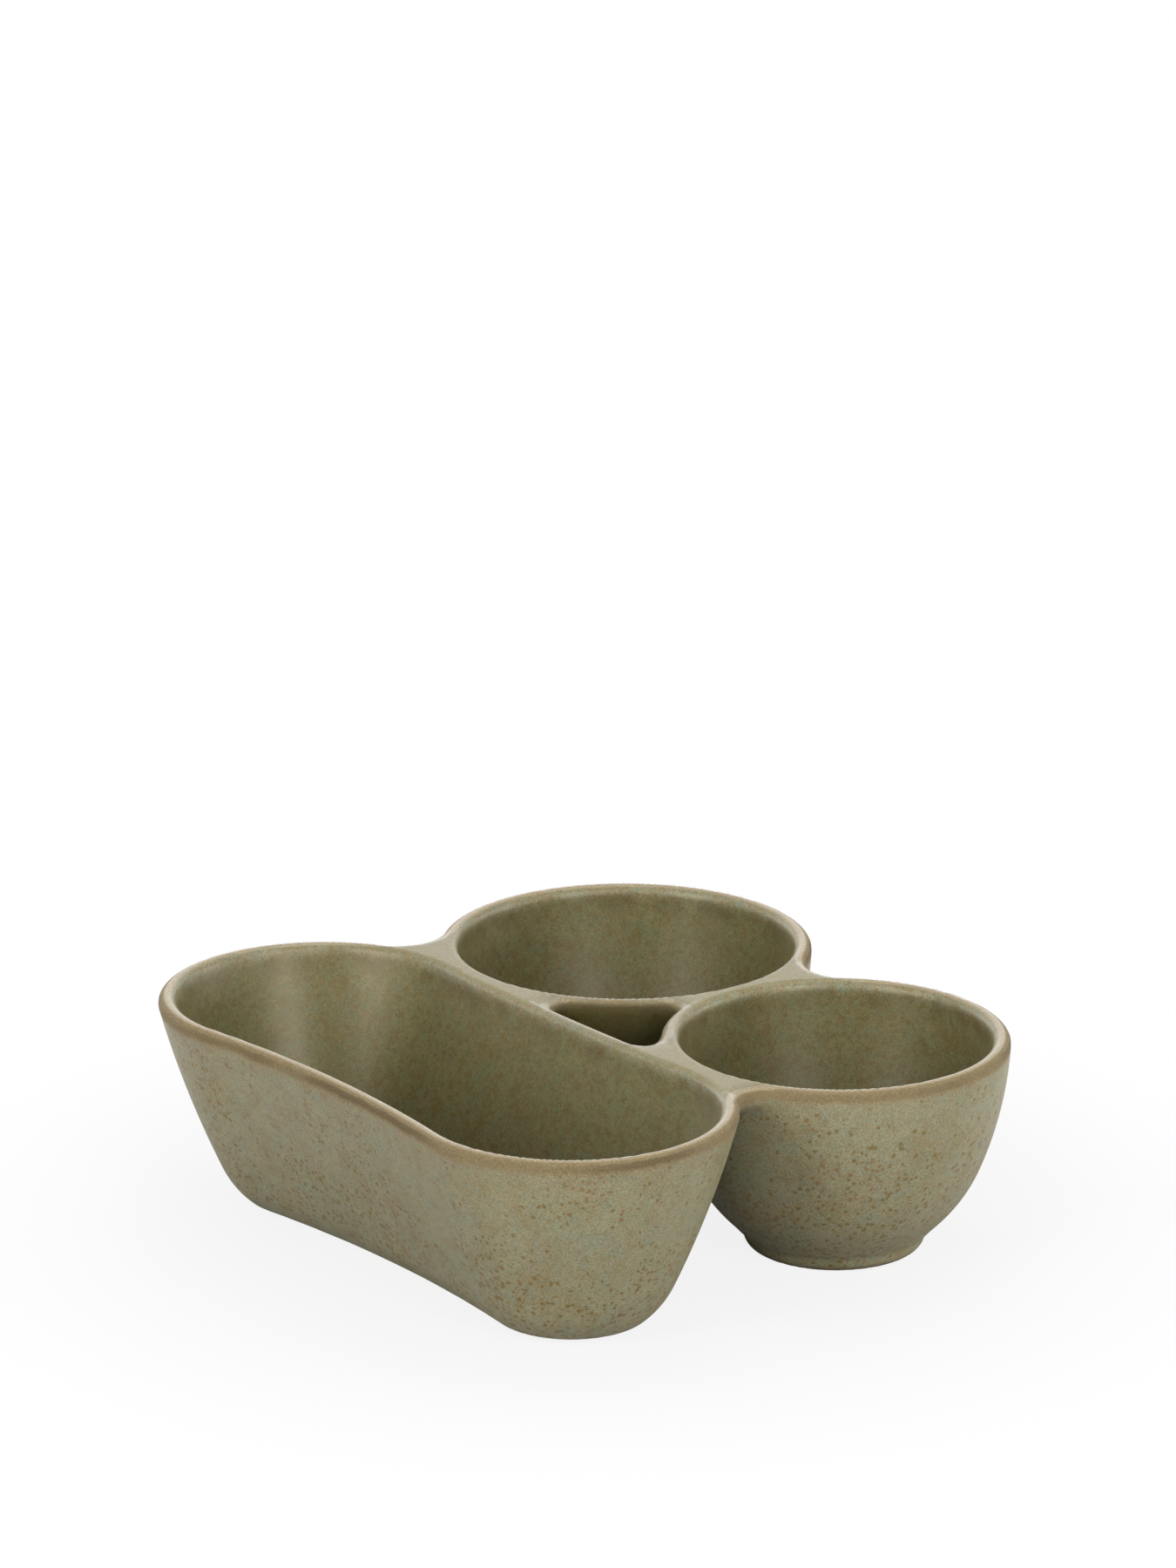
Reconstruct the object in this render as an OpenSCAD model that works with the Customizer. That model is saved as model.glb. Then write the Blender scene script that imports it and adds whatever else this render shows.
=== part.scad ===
// Olive dish: a long waisted dish and two round bowls of glazed stoneware, luted together at the rims.
// The long dish runs along X, the bowls stand behind it on the +Y side, and the feet rest on Z = 0.

/* [Whole dish] */
// Height from the table to the top of the lips
dish_h = 53; // [44:0.5:70]
// Thickness of the walls, which end in a half-round lip
wall_t = 4.2; // [3.4:0.1:5.6]
// Thickness of the floors
floor_t = 4.8; // [3.5:0.1:7]

/* [Long dish] */
// Distance between the centres of the two round ends
long_span = 99.6; // [80:0.2:130]
// Inside radius of the round ends at the lip
long_end_r = 35; // [30:0.1:42]
// How far the front side draws in at the waist
front_waist = 3.5; // [1.5:0.1:6]
// How far the back side draws in at the waist
back_waist = 1.6; // [1:0.1:4]
// Radius of the outside turn from wall to base
long_turn_r = 23; // [18:0.5:32]
// Height of the foot ring
long_foot_h = 1; // [0.8:0.1:3]

/* [Bowls] */
// Inside radius of the large bowl at the lip
large_bowl_r = 41.4; // [36:0.1:48]
// Inside radius of the small bowl at the lip
small_bowl_r = 37.5; // [33:0.1:44]
// Radius of the outside turn from wall to base, large bowl
large_turn_r = 41; // [34:0.5:50]
// Radius of the outside turn from wall to base, small bowl
small_turn_r = 39.5; // [32:0.5:46]
// Height of the foot rings
bowl_foot_h = 4.4; // [2.5:0.1:6]
// Place of the seam between the bowls, measured along the long dish from its middle
bowl_seam_x = 8.6; // [0:0.1:16]

/* [Foot rings] */
// Width of the rings
foot_w = 6; // [4.4:0.1:8]
// Step from the base's edge in to a bowl's ring
bowl_foot_step = 0.6; // [0.4:0.1:2.5]
// Step from the base's edge in to the long dish's ring
long_foot_step = 3.4; // [0.4:0.1:6]
// Chamfer on the lower edges of the bowls' rings
foot_chamfer = 2; // [0.4:0.1:2.1]

/* [Joined rims] */
// Wall shared by the long dish and the large bowl, from inside to inside
large_shared_t = 5.6; // [4.6:0.1:8]
// Wall shared by the long dish and the small bowl
small_shared_t = 7.7; // [5:0.1:8]
// Wall shared by the two bowls
bowls_shared_t = 5.1; // [4:0.1:8]

/* [Webs] */
// Thickness of the webs that fill the corners between the rims
web_t = 6.5; // [4:0.1:10]
// Drop from the top of the lips to the top of the webs
web_drop = 0.3; // [0.2:0.1:1.5]
// Gap between a web and the walls that carry it
web_fit = 0.05; // [0.02:0.01:0.2]
// Fillet radius of the outer notch, long dish to large bowl
left_notch_r = 13; // [6:0.5:16]
// Fillet radius of the outer notch, long dish to small bowl
right_notch_r = 7; // [4:0.5:12]
// Fillet radius of the outer notch between the bowls
rear_notch_r = 12.5; // [6:0.5:16]
// Fillet radius of the gap's left corner
left_gap_r = 3.6; // [2:0.1:4.5]
// Fillet radius of the gap's right corner
right_gap_r = 5; // [2:0.1:6]
// Fillet radius of the gap's rear corner
rear_gap_r = 3; // [2:0.1:6]

/* [Hidden] */

// Slopes of the outside wall from upright, in degrees: at the lip, at the turn and at the base
long_slopes = [15, 24.5, 53];
bowl_slopes = [3, 22, 53];

// Steps along each arc of a wall, over each half of a lip, round an end and along a waist
arc_steps = 5;
lip_steps = 4;
end_steps = 30;
waist_steps = 10;
$fn = 180;

// Overrun of every cut
cut_over = 2;

glaze = "#8d9176";
glaze_pale = "#a3a78f";
clay = "#a08468";

// Direction that a wall of the given slope faces, and points on an arc that turns from one to another
function facing(slope) = [cos(slope), -sin(slope)];
function arc(mid, r, a, b, steps) = [for (i = [0 : steps]) mid + r * facing(a + (b - a) * i / steps)];
function rest(points) = [for (i = [1 : len(points) - 1]) points[i]];

// A wall is its slopes, the radius of its turn to the base and the height of its foot.
// Its points are [distance out from the inner edge of the lip, height].
long_wall = [long_slopes, long_turn_r, long_foot_h];
large_wall = [bowl_slopes, large_turn_r, bowl_foot_h];
small_wall = [bowl_slopes, small_turn_r, bowl_foot_h];
lip_mid = [wall_t / 2, dish_h - wall_t / 2];
function wall_top(w) = lip_mid + wall_t / 2 * facing(w[0][0]);
function turn_z(w) = w[2] + w[1] * (sin(w[0][2]) - sin(w[0][1]));
function belly_r(w) = (wall_top(w)[1] - turn_z(w)) / (sin(w[0][1]) - sin(w[0][0]));
function belly_mid(w) = wall_top(w) - belly_r(w) * facing(w[0][0]);
function turn_mid(w) = belly_mid(w) + (belly_r(w) - w[1]) * facing(w[0][1]);
function inner_turn(w) = belly_mid(w) + (belly_r(w) - wall_t) * facing(w[0][1]);
function floor_z(w) = w[2] + floor_t;
function floor_turn_r(w) = (inner_turn(w)[1] - floor_z(w)) / (1 - sin(w[0][1]));
function floor_turn_mid(w) = inner_turn(w) - floor_turn_r(w) * facing(w[0][1]);

// Outside from the base up to the top of the lip, and inside from there down to the edge of the floor
function outside(w) = concat(
    arc(turn_mid(w), w[1], w[0][2], w[0][1], arc_steps),
    rest(arc(belly_mid(w), belly_r(w), w[0][1], w[0][0], arc_steps)),
    rest(arc(lip_mid, wall_t / 2, w[0][0], -90, lip_steps))
);
function inside(w) = concat(
    rest(arc(lip_mid, wall_t / 2, -90, w[0][0] - 180, lip_steps)),
    rest(arc(belly_mid(w), belly_r(w) - wall_t, w[0][0], w[0][1], arc_steps)),
    rest(arc(floor_turn_mid(w), floor_turn_r(w), w[0][1], 90, arc_steps))
);
function base_edge(w) = outside(w)[0][0];

// Plan of the long dish: two round ends, and two waist arcs that run smoothly into them
half_span = long_span / 2;
function waist_reach(draw) = (draw * draw + half_span * half_span) / (2 * draw);
function waist_r(draw) = waist_reach(draw) - long_end_r;
function waist_y(draw) = waist_reach(draw) - draw;
function waist_a(draw) = atan2(half_span, waist_y(draw));

// Stations round the plan, each a centre, a radius and the direction straight out of the wall
function end_plan(side, a, b) = [for (i = [0 : end_steps])
    let (t = a + (b - a) * i / end_steps)
    [[side * half_span, 0], long_end_r, [cos(t), sin(t)]]];
function waist_plan(side, draw) = [for (i = [1 : waist_steps - 1])
    let (t = waist_a(draw) * (2 * i / waist_steps - 1))
    [[0, side * waist_y(draw)], -waist_r(draw), side * [sin(t), cos(t)]]];
plan = concat(
    end_plan(1, -90 - waist_a(front_waist), 90 + waist_a(back_waist)),
    waist_plan(1, back_waist),
    end_plan(-1, 90 - waist_a(back_waist), 270 + waist_a(front_waist)),
    waist_plan(-1, front_waist)
);
function plan_point(station, out) = station[0] + (station[1] + out) * station[2];

// Places of the bowls, and of the flat seams where the walls meet
large_bowl_y = long_end_r + large_shared_t + large_bowl_r;
small_bowl_y = long_end_r + small_shared_t + small_bowl_r;
bowl_reach = large_bowl_r + bowls_shared_t + small_bowl_r;
bowl_turn = asin((small_bowl_y - large_bowl_y) / bowl_reach);
bowl_line = [cos(bowl_turn), sin(bowl_turn)];
large_seam_r = large_bowl_r + bowls_shared_t / 2;
small_seam_r = small_bowl_r + bowls_shared_t / 2;
large_at = [bowl_seam_x - large_seam_r * bowl_line[0], large_bowl_y];
small_at = large_at + bowl_reach * bowl_line;
large_seam_y = long_end_r + large_shared_t / 2;
small_seam_y = long_end_r + small_shared_t / 2;

// Outer radii at the lip, and the box of the whole dish, which stands with its middle over the origin
end_out_r = long_end_r + wall_t;
large_out_r = large_bowl_r + wall_t;
small_out_r = small_bowl_r + wall_t;
low_x = min(-half_span - end_out_r, large_at[0] - large_out_r);
high_x = max(half_span + end_out_r, small_at[0] + small_out_r);
high_y = max(large_at[1] + large_out_r, small_at[1] + small_out_r);
module placed() {
    translate([-(low_x + high_x) / 2, -(high_y - end_out_r) / 2, 0])
        children();
}

// Rings of the long dish's plan joined into one closed skin, flat where the seams cut it
function seam_y(x) = x < bowl_seam_x ? large_seam_y : small_seam_y;
function ring(point, fit) = [for (station = plan)
    let (q = plan_point(station, point[0] + fit))
    [q[0], min(q[1], seam_y(q[0]) + fit), point[1]]];
module skin(points, fit) {
    around = len(plan);
    last = len(points) - 1;
    sides = [for (j = [0 : last - 1], i = [0 : around - 1])
        let (a = j * around + i, b = j * around + (i + 1) % around)
        each [[a, a + around, b], [b, a + around, b + around]]];
    under = [for (i = [0 : around - 1]) i];
    over = [for (i = [around - 1 : -1 : 0]) last * around + i];
    polyhedron([for (point = points) each ring(point, fit)], concat(sides, [under, over]), convexity = 6);
}

module long_dish() {
    color(glaze)
        placed()
            skin(concat(outside(long_wall), inside(long_wall)), 0);
}

// A bowl turned about its own axis
module bowl(lip_r, w) {
    rotate_extrude()
        polygon(concat([for (p = concat(outside(w), inside(w))) p + [lip_r, 0]], [[0, floor_z(w)], [0, w[2]]]));
}

// Block that pares a wall flat, taking what lies before the plane y = 0
module pare(reach) {
    translate([-reach, -reach, -cut_over])
        cube([2 * reach, reach, dish_h + 2 * cut_over]);
}

module large_bowl() {
    color(glaze)
        placed()
            translate(large_at)
                difference() {
                    bowl(large_bowl_r, large_wall);
                    translate([0, large_seam_y - large_bowl_y])
                        pare(large_out_r);
                    rotate(bowl_turn + 90)
                        translate([0, -large_seam_r])
                            pare(large_out_r);
                }
}

module small_bowl() {
    color(glaze)
        placed()
            translate(small_at)
                difference() {
                    bowl(small_bowl_r, small_wall);
                    translate([0, small_seam_y - small_bowl_y])
                        pare(small_out_r);
                    rotate(bowl_turn - 90)
                        translate([0, -small_seam_r])
                            pare(small_out_r);
                }
}

// Foot rings, set in from the edge of each base
module long_dish_foot() {
    edge = base_edge(long_wall) - long_foot_step;
    color(clay)
        placed()
            linear_extrude(long_foot_h)
                difference() {
                    polygon([for (station = plan) plan_point(station, edge)]);
                    polygon([for (station = plan) plan_point(station, edge - foot_w)]);
                }
}

module bowl_foot(edge) {
    color(clay)
        rotate_extrude()
            polygon([
                [edge - foot_w, bowl_foot_h],
                [edge - foot_w, foot_chamfer],
                [edge - foot_w + foot_chamfer, 0],
                [edge - foot_chamfer, 0],
                [edge, foot_chamfer],
                [edge, bowl_foot_h]
            ]);
}

module large_bowl_foot() {
    placed()
        translate(large_at)
            bowl_foot(large_bowl_r + base_edge(large_wall) - bowl_foot_step);
}

module small_bowl_foot() {
    placed()
        translate(small_at)
            bowl_foot(small_bowl_r + base_edge(small_wall) - bowl_foot_step);
}

// Circles that the outlines at the lips follow
left_end_at = [-half_span, 0];
right_end_at = [half_span, 0];
waist_at = [0, waist_y(back_waist)];
waist_out_r = waist_r(back_waist) - wall_t;

// Point at distance r from a and s from b, on the left of the way from a to b
function meet(a, r, b, s) =
    let (gap = norm(b - a), way = (b - a) / gap, along = (gap * gap + r * r - s * s) / (2 * gap))
    a + along * way + sqrt(r * r - along * along) * [-way[1], way[0]];
function toward(a, b, distance) = a + distance * (b - a) / norm(b - a);

// Web: the corner between two walls, from where they part out to a fillet that touches both.
// The vessels' full outsides are taken from it, so it seats on the slope of the walls.
module web(root, wall_a, wall_b, fillet_at, fillet_r) {
    color(glaze_pale)
        placed()
            difference() {
                translate([0, 0, dish_h - web_drop - web_t])
                    linear_extrude(web_t)
                        difference() {
                            polygon([root, wall_a, fillet_at, wall_b]);
                            translate(fillet_at)
                                circle(fillet_r);
                        }
                children();
            }
}
module long_full() {
    skin(outside(long_wall), web_fit);
}
module bowl_full(lip_r, w) {
    rotate_extrude()
        polygon(concat([for (p = outside(w)) p + [lip_r + web_fit, 0]], [[0, dish_h], [0, w[2]]]));
}
module large_full() {
    translate(large_at)
        bowl_full(large_bowl_r, large_wall);
}
module small_full() {
    translate(small_at)
        bowl_full(small_bowl_r, small_wall);
}

// End of a bowl's flat seam with the long dish
function seam_end(at, out_r, y, side) = [at[0] + side * sqrt(out_r * out_r - (at[1] - y) * (at[1] - y)), y];

module left_notch_web() {
    fillet_at = meet(left_end_at, end_out_r + left_notch_r, large_at, large_out_r + left_notch_r);
    web(seam_end(large_at, large_out_r, large_seam_y, -1),
        toward(left_end_at, fillet_at, long_end_r), toward(large_at, fillet_at, large_bowl_r),
        fillet_at, left_notch_r) {
        long_full();
        large_full();
    }
}

module right_notch_web() {
    fillet_at = meet(small_at, small_out_r + right_notch_r, right_end_at, end_out_r + right_notch_r);
    web(seam_end(small_at, small_out_r, small_seam_y, 1),
        toward(right_end_at, fillet_at, long_end_r), toward(small_at, fillet_at, small_bowl_r),
        fillet_at, right_notch_r) {
        long_full();
        small_full();
    }
}

module rear_notch_web() {
    fillet_at = meet(large_at, large_out_r + rear_notch_r, small_at, small_out_r + rear_notch_r);
    web(meet(large_at, large_out_r, small_at, small_out_r),
        toward(large_at, fillet_at, large_bowl_r), toward(small_at, fillet_at, small_bowl_r),
        fillet_at, rear_notch_r) {
        large_full();
        small_full();
    }
}

module left_gap_web() {
    fillet_at = meet(waist_at, waist_out_r - left_gap_r, large_at, large_out_r + left_gap_r);
    web(seam_end(large_at, large_out_r, large_seam_y, 1),
        toward(waist_at, fillet_at, waist_r(back_waist)), toward(large_at, fillet_at, large_bowl_r),
        fillet_at, left_gap_r) {
        long_full();
        large_full();
    }
}

module right_gap_web() {
    fillet_at = meet(small_at, small_out_r + right_gap_r, waist_at, waist_out_r - right_gap_r);
    web(seam_end(small_at, small_out_r, small_seam_y, -1),
        toward(waist_at, fillet_at, waist_r(back_waist)), toward(small_at, fillet_at, small_bowl_r),
        fillet_at, right_gap_r) {
        long_full();
        small_full();
    }
}

module rear_gap_web() {
    fillet_at = meet(small_at, small_out_r + rear_gap_r, large_at, large_out_r + rear_gap_r);
    web(meet(small_at, small_out_r, large_at, large_out_r),
        toward(large_at, fillet_at, large_bowl_r), toward(small_at, fillet_at, small_bowl_r),
        fillet_at, rear_gap_r) {
        large_full();
        small_full();
    }
}

long_dish();
large_bowl();
small_bowl();
long_dish_foot();
large_bowl_foot();
small_bowl_foot();
left_notch_web();
right_notch_web();
rear_notch_web();
left_gap_web();
right_gap_web();
rear_gap_web();
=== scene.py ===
import math

import bmesh
import bpy
from mathutils import Matrix, Vector


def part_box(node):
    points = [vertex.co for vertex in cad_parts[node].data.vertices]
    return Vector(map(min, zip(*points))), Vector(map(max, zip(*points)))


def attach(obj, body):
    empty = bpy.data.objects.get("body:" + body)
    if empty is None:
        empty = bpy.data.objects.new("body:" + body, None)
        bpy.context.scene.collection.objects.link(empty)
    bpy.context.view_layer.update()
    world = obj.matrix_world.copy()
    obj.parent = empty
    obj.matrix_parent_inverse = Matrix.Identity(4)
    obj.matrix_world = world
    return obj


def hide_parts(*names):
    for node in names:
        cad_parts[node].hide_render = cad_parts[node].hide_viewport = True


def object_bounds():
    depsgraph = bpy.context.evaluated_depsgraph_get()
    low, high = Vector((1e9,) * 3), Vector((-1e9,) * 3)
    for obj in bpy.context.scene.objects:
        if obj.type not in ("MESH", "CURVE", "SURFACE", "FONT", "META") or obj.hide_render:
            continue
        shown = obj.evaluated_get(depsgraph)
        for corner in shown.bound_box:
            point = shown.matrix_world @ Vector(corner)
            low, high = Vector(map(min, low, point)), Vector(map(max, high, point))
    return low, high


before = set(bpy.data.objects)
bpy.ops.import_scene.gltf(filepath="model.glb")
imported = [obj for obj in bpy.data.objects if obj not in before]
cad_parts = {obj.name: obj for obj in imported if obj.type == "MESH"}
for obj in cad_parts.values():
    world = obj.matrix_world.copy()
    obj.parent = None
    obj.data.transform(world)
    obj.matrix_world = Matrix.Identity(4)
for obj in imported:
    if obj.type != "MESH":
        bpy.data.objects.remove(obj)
cad_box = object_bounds()


# Long dish: the waisted vessel in front. It is pressed stoneware about 4 mm thick with a half-round lip,
# drawn in at the middle of both long sides, and it stands on a low ring of its own.
mm = 0.001
dish_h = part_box("long_dish")[1].z
wall_t = 4.2 * mm
floor_t = 4.8 * mm
long_end_r = 35 * mm
front_draw = 3.5 * mm
back_draw = 1.6 * mm
long_slopes = (15, 24.5, 53)
long_turn_r = 23 * mm
long_base_round = 0.8 * mm


def middle(node):
    """The middle of a CAD node's plan, on the table"""
    low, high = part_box(node)
    return Vector(((low.x + high.x) / 2, (low.y + high.y) / 2, 0))


long_at = Vector((middle("long_dish").x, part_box("long_dish")[0].y + long_end_r + wall_t, 0))
half_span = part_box("long_dish")[1].x - long_at.x - long_end_r - wall_t


class Field:
    """A number or vector that a tree's nodes work out at every point, so that a shape reads as a formula"""

    def __init__(self, tree, socket):
        self.tree = tree
        self.socket = socket

    def math(self, operation, *others, kind="ShaderNodeMath", output=0):
        node = self.tree.nodes.new(kind)
        node.operation = operation
        for socket, value in zip(node.inputs, (self, *others)):
            feed(socket, value)
        return Field(self.tree, node.outputs[output])

    def vector(self, operation, *others):
        output = "Value" if operation in ("LENGTH", "DOT_PRODUCT") else "Vector"
        return self.math(operation, *others, kind="ShaderNodeVectorMath", output=output)

    def __add__(self, other):
        return self.math("ADD", other)

    def __sub__(self, other):
        return self.math("SUBTRACT", other)

    def __mul__(self, other):
        return self.math("MULTIPLY", other)

    def __truediv__(self, other):
        return self.math("DIVIDE", other)

    def __neg__(self):
        return self * -1

    def __rsub__(self, other):
        return place(self.tree, "ShaderNodeMath", {0: other, 1: self}, operation="SUBTRACT")

    def __rtruediv__(self, other):
        return place(self.tree, "ShaderNodeMath", {0: other, 1: self}, operation="DIVIDE")


def feed(socket, value):
    """Links a field to a socket, or sets a plain value on it"""
    if isinstance(value, Field):
        value.tree.links.new(value.socket, socket)
    else:
        socket.default_value = value


def place(tree, kind, inputs, output=0, **settings):
    """A new node with these settings and inputs, as the field that one of its outputs gives"""
    node = tree.nodes.new(kind)
    for name, value in settings.items():
        setattr(node, name, value)
    for name, value in inputs.items():
        feed(node.inputs[name], value)
    return Field(tree, node.outputs[output])


def new_tree(name, inputs, outputs, kind="GeometryNodeTree"):
    """An empty tree, its inputs as fields by name, and the function that closes it with its results"""
    tree = bpy.data.node_groups.new(name, kind)
    for side, sockets in (("INPUT", inputs), ("OUTPUT", outputs)):
        for label, value_kind in sockets.items():
            tree.interface.new_socket(label, in_out=side, socket_type="NodeSocket" + value_kind)
    start = tree.nodes.new("NodeGroupInput")
    end = tree.nodes.new("NodeGroupOutput")

    def close(results):
        for label, value in results.items():
            feed(end.inputs[label], value)
        return tree

    return tree, {label: Field(tree, start.outputs[label]) for label in inputs}, close


def call(tree, group, inputs):
    """The results of a group of nodes, in the order of its outputs, or its one result"""
    node = tree.nodes.new(tree.bl_idname.replace("Tree", "Group"))
    node.node_tree = group
    for name, value in inputs.items():
        feed(node.inputs[name], value)
    results = [Field(tree, socket) for socket in node.outputs]
    return results if len(results) > 1 else results[0]


def split(vector):
    """The x, y and z of a vector"""
    node = vector.tree.nodes.new("ShaderNodeSeparateXYZ")
    feed(node.inputs[0], vector)
    return [Field(vector.tree, socket) for socket in node.outputs]


def reach(x, y):
    """The length of the way from zero to a place x, y"""
    return place(x.tree, "ShaderNodeCombineXYZ", {"X": x, "Y": y}).vector("LENGTH")


def choose(test, yes, no):
    """yes where the test is above zero, else no"""
    return no + (yes - no) * test.math("GREATER_THAN", 0)


def smallest(first, *others):
    for other in others:
        first = first.math("MINIMUM", other)
    return first


def largest(first, *others):
    for other in others:
        first = first.math("MAXIMUM", other)
    return first


def rounded_meeting(a, b, radius):
    """Where two solids overlap, with the edge between their faces rounded"""
    corner = reach((a + radius).math("MAXIMUM", 0), (b + radius).math("MAXIMUM", 0))
    return largest(a, b).math("MINIMUM", -radius) + corner


# Distance out from the inner edge of the lip, for a plan of two round ends and a waist arc on either side
tree, given, close = new_tree(
    "Waisted outline",
    {"Position": "Vector", "Centre": "Vector", "End radius": "Float", "Half span": "Float",
     "Front draw": "Float", "Back draw": "Float"},
    {"Out": "Float"})
x, y, unused = split(given["Position"].vector("SUBTRACT", given["Centre"]))
along = x.math("ABSOLUTE")
away = y.math("ABSOLUTE")
half = given["Half span"]
draw = choose(y, given["Back draw"], given["Front draw"])
waist_reach = (draw * draw + half * half) / (draw * 2)
waist_y = waist_reach - draw
end_out = reach(along - half, y) - given["End radius"]
waist_out = waist_reach - given["End radius"] - reach(along, waist_y - away)
waisted_outline = close({"Out": choose(along * waist_y + away * half - half * waist_y, end_out, waist_out)})

# Distance from the wall of a vessel, whose section is a half-round lip, a belly arc, a turn and a flat floor
tree, given, close = new_tree(
    "Stoneware wall",
    {"Out": "Float", "Height": "Float", "Wall": "Float", "Lip height": "Float", "Rim slope": "Float",
     "Turn slope": "Float", "Belly centre": "Vector", "Belly radius": "Float", "Turn centre": "Vector",
     "Turn radius": "Float", "Floor centre": "Vector", "Floor radius": "Float", "Foot height": "Float",
     "Base round": "Float"},
    {"Distance": "Float"})


def about(centre):
    x, z, unused = split(given[centre])
    return given["Out"] - x, given["Height"] - z


def above(way, slope):
    """Above zero for points over the line that runs out from a centre, square to a wall of that slope"""
    return way[0] * given[slope].math("SINE") + way[1] * given[slope].math("COSINE")


half_wall = given["Wall"] * 0.5
from_lip = (given["Out"] - half_wall, given["Height"] - given["Lip height"] + half_wall)
from_belly = about("Belly centre")
from_floor = about("Floor centre")
lip = reach(*from_lip) - half_wall
belly = (reach(*from_belly) - given["Belly radius"] + half_wall).math("ABSOLUTE") - half_wall
turn = reach(*about("Turn centre")) - given["Turn radius"]
base = given["Foot height"] - given["Height"]
bottom = rounded_meeting(turn, base, given["Base round"])
cavity = choose(from_floor[0], reach(*from_floor), -from_floor[1]) - given["Floor radius"]
lower = largest(bottom, -cavity)
wall = choose(above(from_belly, "Turn slope"), belly, lower)
stoneware_wall = close({"Distance": choose(above(from_lip, "Rim slope"), lip, wall)})


def wall_arcs(slopes, turn_r, foot_h, base_round):
    """The arcs of a wall's section, as places of distance out and height, from its slopes in degrees"""
    rim, turn, base = (math.radians(slope) for slope in slopes)
    facing = [Vector((math.cos(a), -math.sin(a), 0)) for a in (rim, turn)]
    top = Vector((wall_t / 2, dish_h - wall_t / 2, 0)) + wall_t / 2 * facing[0]
    turn_z = foot_h + turn_r * (math.sin(base) - math.sin(turn))
    belly_r = (top.y - turn_z) / (math.sin(turn) - math.sin(rim))
    belly_mid = top - belly_r * facing[0]
    inner = belly_mid + (belly_r - wall_t) * facing[1]
    floor_r = (inner.y - foot_h - floor_t) / (1 - math.sin(turn))
    return {
        "Wall": wall_t, "Lip height": dish_h, "Rim slope": rim, "Turn slope": turn,
        "Belly centre": belly_mid, "Belly radius": belly_r,
        "Turn centre": belly_mid + (belly_r - turn_r) * facing[1], "Turn radius": turn_r,
        "Floor centre": inner - floor_r * facing[1], "Floor radius": floor_r,
        "Foot height": foot_h, "Base round": base_round,
    }


long_foot_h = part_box("long_dish_foot")[1].z
left_end = long_at - Vector((half_span, 0, 0))
right_end = long_at + Vector((half_span, 0, 0))
end_out_r = long_end_r + wall_t
long_plan = {"Centre": long_at, "End radius": long_end_r, "Half span": half_span,
             "Front draw": front_draw, "Back draw": back_draw}
vessels = {"long_dish": {
    "outline": waisted_outline, "plan": long_plan,
    "arcs": wall_arcs(long_slopes, long_turn_r, long_foot_h, long_base_round)}}

round_steps = 144
waist_steps = 24


def arc_points(centre, radius, start, end, steps):
    """Points along an arc, both of its ends among them"""
    turns = [start + (end - start) * step / steps for step in range(steps + 1)]
    return [centre + radius * Vector((math.cos(turn), math.sin(turn), 0)) for turn in turns]


def waisted_line(out):
    """Points round the long dish at a distance out from its inner lip"""
    square = math.pi / 2
    back_turn, front_turn = (2 * math.atan2(draw, half_span) for draw in (back_draw, front_draw))

    def waist(side, turn):
        bend_r = half_span / math.sin(turn)
        centre = long_at + Vector((0, side * bend_r * math.cos(turn), 0))
        facing = -side * square
        return arc_points(centre, bend_r - long_end_r - out, facing + turn, facing - turn, waist_steps)

    def end(centre, start, stop):
        return arc_points(centre, long_end_r + out, start, stop, round_steps // 2)

    return (end(right_end, -square - front_turn, square + back_turn)[:-1] + waist(1, back_turn)[:-1]
            + end(left_end, square - back_turn, 3 * square + front_turn)[:-1] + waist(-1, front_turn)[:-1])


# Bowls: a large and a small round vessel behind the long dish, thrown on the wheel in the same clay.
# Their walls run into the long dish and into each other at the rims.
bowl_slopes = (3, 22, 53)
bowl_base_round = 1 * mm
bowl_turn_r = {"large_bowl": 41 * mm, "small_bowl": 39.5 * mm}
bowl_at = {name: middle(name + "_foot") for name in bowl_turn_r}
bowl_foot_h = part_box("large_bowl_foot")[1].z
bowl_lip_r = {
    "large_bowl": bowl_at["large_bowl"].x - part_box("large_bowl")[0].x - wall_t,
    "small_bowl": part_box("small_bowl")[1].x - bowl_at["small_bowl"].x - wall_t,
}

tree, given, close = new_tree(
    "Round outline", {"Position": "Vector", "Centre": "Vector", "Radius": "Float"}, {"Out": "Float"})
x, y, unused = split(given["Position"].vector("SUBTRACT", given["Centre"]))
round_outline = close({"Out": reach(x, y) - given["Radius"]})


def round_line(name, out):
    """Points round a bowl at a distance out from its inner lip"""
    return arc_points(bowl_at[name], bowl_lip_r[name] + out, 0, 2 * math.pi, round_steps)[:-1]


for name, turn_r in bowl_turn_r.items():
    vessels[name] = {
        "outline": round_outline, "plan": {"Centre": bowl_at[name], "Radius": bowl_lip_r[name]},
        "arcs": wall_arcs(bowl_slopes, turn_r, bowl_foot_h, bowl_base_round)}


# Foot rings: a ring under each vessel, left standing when the base is turned hollow. The wall runs into it
# in a soft cove, and its lower edge is wiped bare of glaze before the firing.
foot_w = 6 * mm
foot_bed = 0.5 * mm
long_foot_round = 0.7 * mm
long_cove = 1.5 * mm
bowl_foot_round = 2.8 * mm
bowl_cove = 5.5 * mm

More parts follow.
